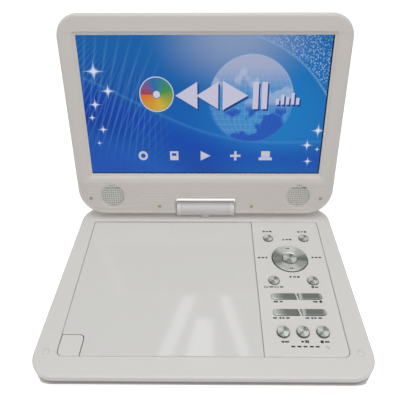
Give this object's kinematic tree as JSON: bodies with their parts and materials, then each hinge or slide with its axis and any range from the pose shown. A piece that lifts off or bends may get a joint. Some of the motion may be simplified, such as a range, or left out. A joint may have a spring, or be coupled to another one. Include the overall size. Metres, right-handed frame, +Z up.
{
  "type": "portable disc player",
  "caption": "Portable disc player with a swivelling, tilting screen, a hinged disc cover, a direction pad and a panel of keys.",
  "frame": {"origin": "middle of the bounding box at the surface the feet stand on", "axes": "+X across to the viewer's right, +Y from the front edge to the hinge at the back, +Z up"},
  "size_m": [0.2556, 0.2314, 0.209],
  "materials": {
    "white_plastic": "glossy white moulded plastic",
    "satin_white": "fine satin white moulded plastic",
    "inner_plastic": "dark grey moulded plastic",
    "silver_key": "spun silver plating",
    "steel": "bright steel",
    "rubber": "pale soft rubber",
    "dark_rubber": "black rubber",
    "board_green": "coated circuit board",
    "battery_wrap": "wrapped cells",
    "display": "satin display glass",
    "backlight": "moulded light guide in a thin frame",
    "grille": "grey moulded grille",
    "magnet": "speaker magnet and cone",
    "clear_lens": "polished lens",
    "gear_white": "natural acetal",
    "port_metal": "tinned shell",
    "port_black": "black moulded socket"
  },
  "bodies": {
    "base": {"bottom_case": "white_plastic", "top_case": "white_plastic", "control_panel": "white_plastic", "disc_tray": "satin_white", "disc_lid_pins": "steel", "battery_pack": "battery_wrap", "main_board": "board_green", "key_board": "board_green", "rubber_feet": "dark_rubber", "case_screws": "steel", "base_bumpers": "rubber", "status_lens": "clear_lens", "dc_jack": "port_black", "audio_jacks": "port_black", "usb_port": "port_metal", "card_slot": "port_metal", "drive_chassis": "steel", "drive_dampers": "dark_rubber", "guide_rods": "steel", "spindle_stator": "steel", "sled_motor": "steel", "hinge_bracket": "steel"},
    "swivel": {"hinge_cover": "satin_white", "hinge_end_caps": "satin_white", "tilt_yoke": "steel", "swivel_column": "steel"},
    "screen": {"lid_front_bezel": "white_plastic", "lid_rear_cover": "white_plastic", "lcd_panel": "display", "lcd_frame": "backlight", "speakers": "magnet", "speaker_grilles": "grille", "screen_bumpers": "rubber", "lid_screws": "steel", "lid_brackets": "steel", "tilt_shafts": "steel"},
    "disc_cover": {"disc_lid": "white_plastic"},
    "open_key": {"open_button": "white_plastic"},
    "latch": {"lid_latch": "inner_plastic"},
    "turntable": {"spindle_rotor": "steel", "turntable_hub": "inner_plastic"},
    "sled": {"pickup_sled": "inner_plastic"},
    "lens": {"objective_lens": "clear_lens"},
    "feed": {"feed_gear": "gear_white"},
    "pinion": {"motor_pinion": "gear_white"},
    "power": {"power_knob": "inner_plastic"},
    "mode": {"mode_button": "silver_key"},
    "source": {"source_button": "silver_key"},
    "display": {"display_button": "silver_key"},
    "search": {"search_button": "silver_key"},
    "back": {"back_button": "silver_key"},
    "play": {"play_button": "silver_key"},
    "stop": {"stop_button": "silver_key"},
    "enter": {"enter_button": "silver_key"},
    "volume_down": {"volume_down_key": "silver_key"},
    "volume_up": {"volume_up_key": "silver_key"},
    "skip_back": {"skip_back_key": "silver_key"},
    "skip_forward": {"skip_forward_key": "silver_key"},
    "pad_gimbal": {"pad_pivot": "inner_plastic"},
    "pad": {"direction_pad": "silver_key"}
  },
  "joints": [
    {"name": "screen_swivel", "type": "hinge", "parent": "base", "child": "swivel", "pos_m": [0, 0.06395, 0.024], "axis": [0, 0, 1], "range_deg": [-180, 0]},
    {"name": "screen_tilt", "type": "hinge", "parent": "swivel", "child": "screen", "pos_m": [0, 0.06395, 0.032], "axis": [-1, 0, 0], "range_deg": [-104.7, 75.3]},
    {"name": "disc_lid_hinge", "type": "hinge", "parent": "base", "child": "disc_cover", "pos_m": [0, 0.05035, 0.0213], "axis": [-1, 0, 0], "range_deg": [0, 60]},
    {"name": "open_press", "type": "slide", "parent": "base", "child": "open_key", "axis": [0, 0, 1], "range_m": [-0.001, 0], "stiffness_N_per_m": 1500},
    {"name": "latch_slide", "type": "slide", "parent": "base", "child": "latch", "axis": [0, 1, 0], "range_m": [-0.0012, 0]},
    {"name": "spindle_spin", "type": "hinge", "parent": "base", "child": "turntable", "pos_m": [-0.032, -0.02175, 0.015], "axis": [0, 0, 1], "continuous": true},
    {"name": "sled_travel", "type": "slide", "parent": "base", "child": "sled", "axis": [0, -1, 0], "range_m": [0, 0.034]},
    {"name": "lens_focus", "type": "slide", "parent": "sled", "child": "lens", "axis": [0, 0, 1], "range_m": [-0.0004, 0.0004], "stiffness_N_per_m": 60},
    {"name": "feed_gear_spin", "type": "hinge", "parent": "base", "child": "feed", "pos_m": [0, -0.06275, 0.009], "axis": [0, 0, 1], "range_deg": [-2, 392]},
    {"name": "motor_pinion_spin", "type": "hinge", "parent": "base", "child": "pinion", "pos_m": [0.0145, -0.06275, 0.009], "axis": [0, 0, 1], "range_deg": [-1872, 2]},
    {"name": "power_slide", "type": "slide", "parent": "base", "child": "power", "axis": [0, 1, 0], "range_m": [-0.0035, 0]},
    {"name": "mode_press", "type": "slide", "parent": "base", "child": "mode", "axis": [0, 0, 1], "range_m": [-0.0008, 0], "stiffness_N_per_m": 1500},
    {"name": "source_press", "type": "slide", "parent": "base", "child": "source", "axis": [0, 0, 1], "range_m": [-0.0008, 0], "stiffness_N_per_m": 1500},
    {"name": "display_press", "type": "slide", "parent": "base", "child": "display", "axis": [0, 0, 1], "range_m": [-0.0008, 0], "stiffness_N_per_m": 1500},
    {"name": "search_press", "type": "slide", "parent": "base", "child": "search", "axis": [0, 0, 1], "range_m": [-0.0008, 0], "stiffness_N_per_m": 1500},
    {"name": "back_press", "type": "slide", "parent": "base", "child": "back", "axis": [0, 0, 1], "range_m": [-0.0008, 0], "stiffness_N_per_m": 1500},
    {"name": "play_press", "type": "slide", "parent": "base", "child": "play", "axis": [0, 0, 1], "range_m": [-0.0008, 0], "stiffness_N_per_m": 1500},
    {"name": "stop_press", "type": "slide", "parent": "base", "child": "stop", "axis": [0, 0, 1], "range_m": [-0.0008, 0], "stiffness_N_per_m": 1500},
    {"name": "enter_press", "type": "slide", "parent": "base", "child": "enter", "axis": [0, 0, 1], "range_m": [-0.0008, 0], "stiffness_N_per_m": 1500},
    {"name": "volume_down_press", "type": "slide", "parent": "base", "child": "volume_down", "axis": [0, 0, 1], "range_m": [-0.0008, 0], "stiffness_N_per_m": 1500},
    {"name": "volume_up_press", "type": "slide", "parent": "base", "child": "volume_up", "axis": [0, 0, 1], "range_m": [-0.0008, 0], "stiffness_N_per_m": 1500},
    {"name": "skip_back_press", "type": "slide", "parent": "base", "child": "skip_back", "axis": [0, 0, 1], "range_m": [-0.0008, 0], "stiffness_N_per_m": 1500},
    {"name": "skip_forward_press", "type": "slide", "parent": "base", "child": "skip_forward", "axis": [0, 0, 1], "range_m": [-0.0008, 0], "stiffness_N_per_m": 1500},
    {"name": "pad_rock_front_back", "type": "hinge", "parent": "base", "child": "pad_gimbal", "pos_m": [0.0786, 0.00065, 0.02], "axis": [1, 0, 0], "range_deg": [-2, 2], "stiffness_Nm_per_rad": 0.3},
    {"name": "pad_rock_side", "type": "hinge", "parent": "pad_gimbal", "child": "pad", "pos_m": [0.0786, 0.00065, 0.02], "axis": [0, 1, 0], "range_deg": [-2, 2], "stiffness_Nm_per_rad": 0.3}
  ],
  "couplings": [
    {"joint": "latch_slide", "follows": "open_press", "ratio": 1.2},
    {"joint": "feed_gear_spin", "follows": "sled_travel", "rad_per_m": 200},
    {"joint": "motor_pinion_spin", "follows": "sled_travel", "rad_per_m": -960}
  ]
}
